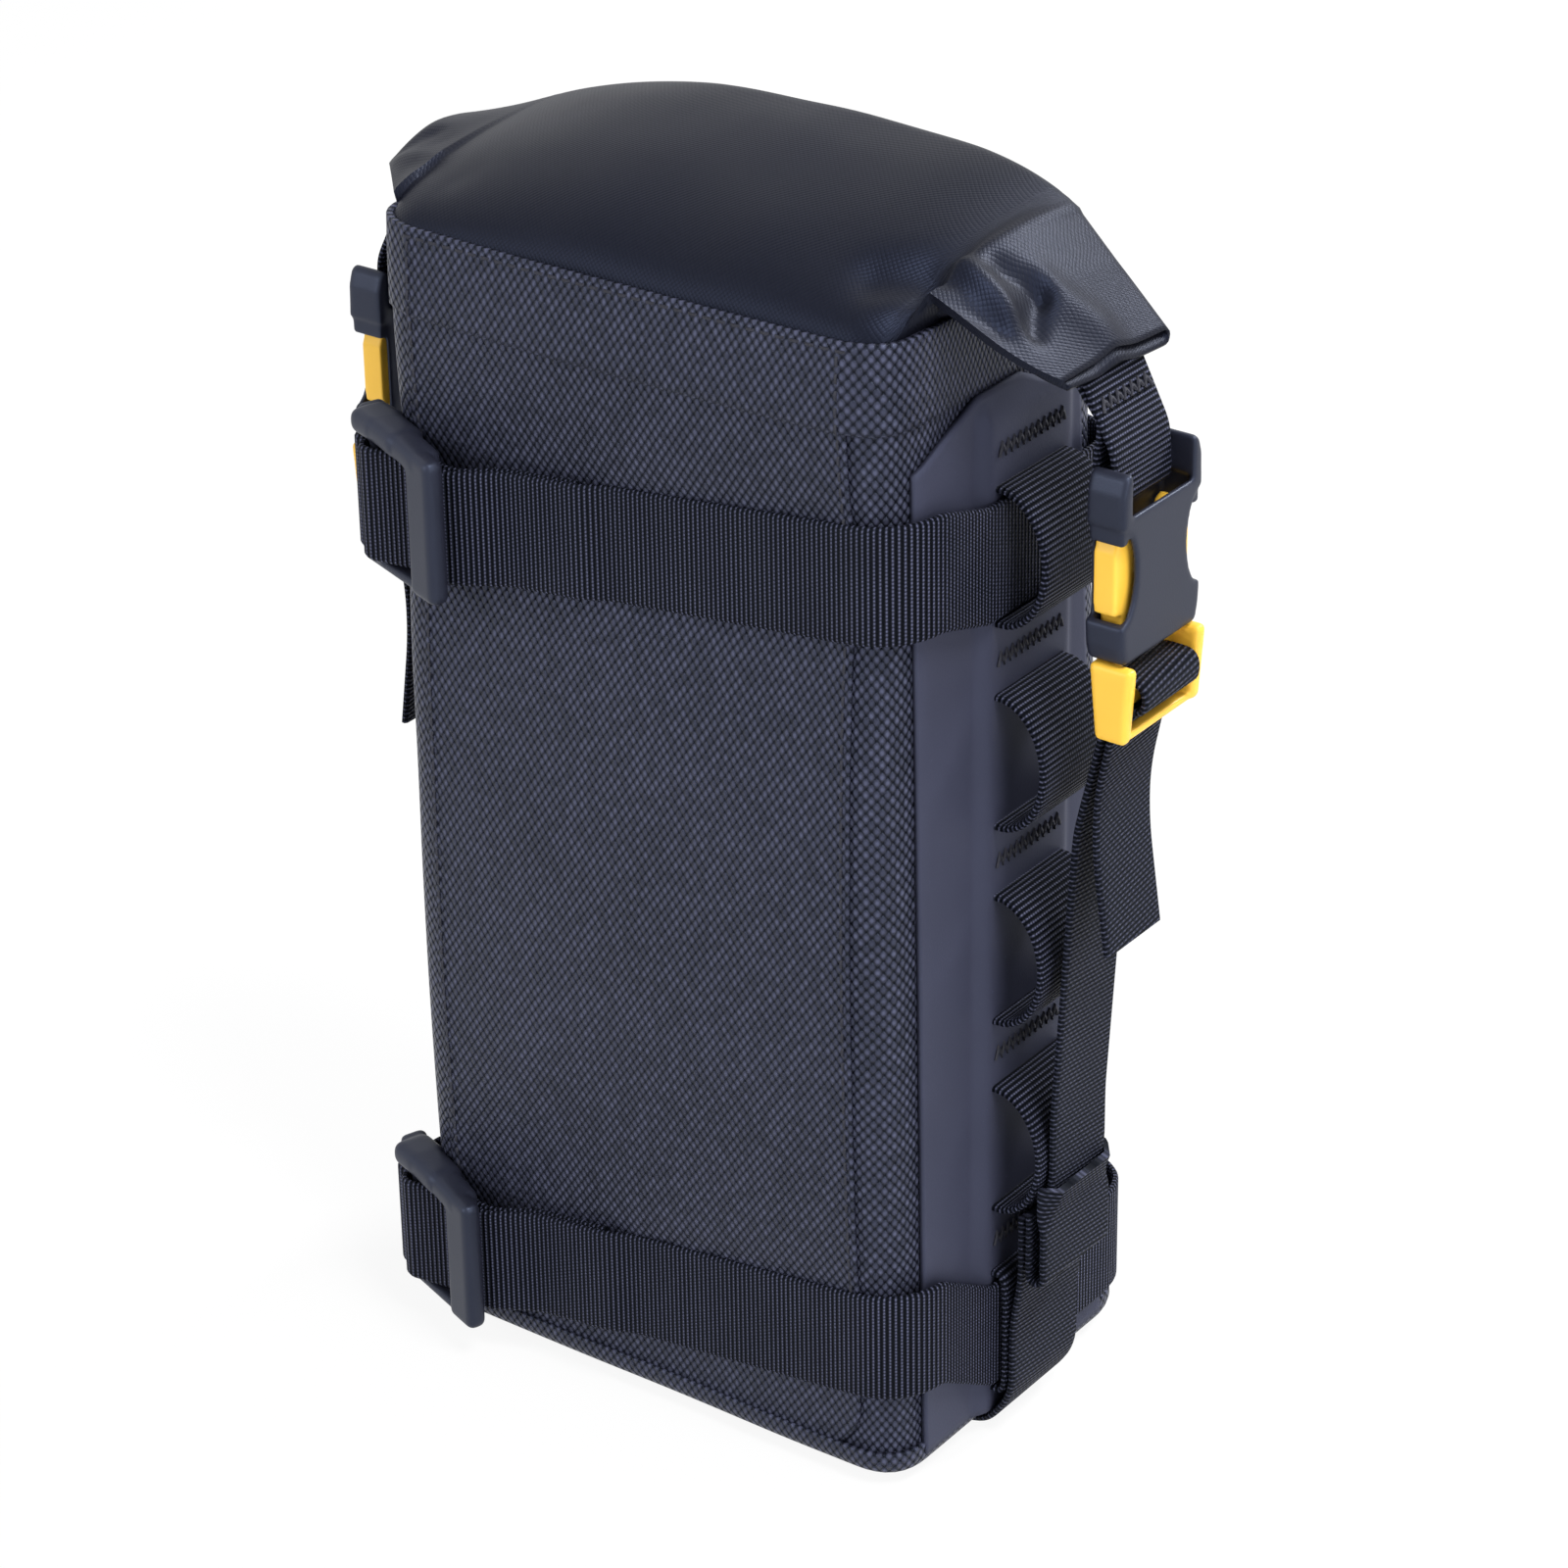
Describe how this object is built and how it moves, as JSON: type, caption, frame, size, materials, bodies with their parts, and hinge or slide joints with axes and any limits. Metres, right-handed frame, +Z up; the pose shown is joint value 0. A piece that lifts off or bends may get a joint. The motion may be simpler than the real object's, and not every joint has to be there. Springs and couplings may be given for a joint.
{
  "type": "roll-top saddle bag",
  "caption": "Upright roll-top saddle bag: fabric body, rolled mouth held by side-release buckles, rubber side patches with daisy-chain loops, and wrap straps with ladder locks.",
  "frame": {"origin": "on the ground, on the underside of the base strap, under the middle of the bag", "axes": "+Z up, the bag's front with the wrap straps faces -Y, +X to the right when looking at the front"},
  "size_m": [0.2, 0.0983, 0.2775],
  "materials": {
    "coated_fabric": "dark slate coarse basket weave with a matt coating",
    "coated_cloth": "near-black fine-weave cloth with a soft satin coating",
    "rubber": "smooth matt slate rubber sheet",
    "webbing": "black ribbed webbing",
    "black_plastic": "black satin moulded plastic with a fine grain",
    "yellow_plastic": "warm yellow satin moulded plastic"
  },
  "bodies": {
    "bag": {"front_panel": "coated_fabric", "back_panel": "coated_fabric", "right_gusset": "coated_fabric", "left_gusset": "coated_fabric", "bottom_panel": "coated_fabric", "collar": "coated_cloth", "rolled_mouth": "coated_cloth", "roll_stiffener": "coated_cloth", "right_side_patch": "rubber", "left_side_patch": "rubber", "right_daisy_chain": "webbing", "left_daisy_chain": "webbing", "right_roll_strap": "webbing", "left_roll_strap": "webbing", "right_buckle_socket": "black_plastic", "left_buckle_socket": "black_plastic", "right_buckle_plug": "yellow_plastic", "left_buckle_plug": "yellow_plastic", "right_buckle_strap": "webbing", "left_buckle_strap": "webbing", "right_anchor_tape": "webbing", "left_anchor_tape": "webbing", "base_strap": "webbing", "upper_wrap_strap": "webbing", "lower_wrap_strap": "webbing", "upper_strap_end": "webbing", "lower_strap_end": "webbing"},
    "right_prong_front": {"right_prong_front": "yellow_plastic"},
    "right_prong_back": {"right_prong_back": "yellow_plastic"},
    "left_prong_front": {"left_prong_front": "yellow_plastic"},
    "left_prong_back": {"left_prong_back": "yellow_plastic"},
    "right_tail": {"right_strap_tail": "webbing"},
    "left_tail": {"left_strap_tail": "webbing"},
    "upper_lock": {"upper_ladder_lock": "black_plastic"},
    "lower_lock": {"lower_ladder_lock": "black_plastic"}
  },
  "joints": [
    {"name": "right_front_press", "type": "hinge", "parent": "bag", "child": "right_prong_front", "pos_m": [0.0924, -0.0109, 0.1907], "axis": [-1, 0, 0], "range_deg": [0, 8], "stiffness_Nm_per_rad": 0.3},
    {"name": "right_back_press", "type": "hinge", "parent": "bag", "child": "right_prong_back", "pos_m": [0.0924, 0.0059, 0.1907], "axis": [1, 0, 0], "range_deg": [0, 8], "stiffness_Nm_per_rad": 0.3},
    {"name": "left_front_press", "type": "hinge", "parent": "bag", "child": "left_prong_front", "pos_m": [-0.0924, -0.0109, 0.1907], "axis": [-1, 0, 0], "range_deg": [0, 8], "stiffness_Nm_per_rad": 0.3},
    {"name": "left_back_press", "type": "hinge", "parent": "bag", "child": "left_prong_back", "pos_m": [-0.0924, 0.0059, 0.1907], "axis": [1, 0, 0], "range_deg": [0, 8], "stiffness_Nm_per_rad": 0.3},
    {"name": "right_tail_swing", "type": "hinge", "parent": "bag", "child": "right_tail", "pos_m": [0.0924, -0.0025, 0.172], "axis": [0, -1, 0], "range_deg": [0, 70]},
    {"name": "left_tail_swing", "type": "hinge", "parent": "bag", "child": "left_tail", "pos_m": [-0.0924, -0.0025, 0.172], "axis": [0, 1, 0], "range_deg": [0, 70]},
    {"name": "upper_lock_tilt", "type": "hinge", "parent": "bag", "child": "upper_lock", "pos_m": [-0.06678, -0.0451, 0.1978], "axis": [0, 0, -1], "range_deg": [0, 30], "stiffness_Nm_per_rad": 0.2, "deforming": ["upper_strap_end"]},
    {"name": "lower_lock_tilt", "type": "hinge", "parent": "bag", "child": "lower_lock", "pos_m": [-0.06678, -0.0451, 0.0229], "axis": [0, 0, -1], "range_deg": [0, 30], "stiffness_Nm_per_rad": 0.2, "deforming": ["lower_strap_end"]}
  ]
}
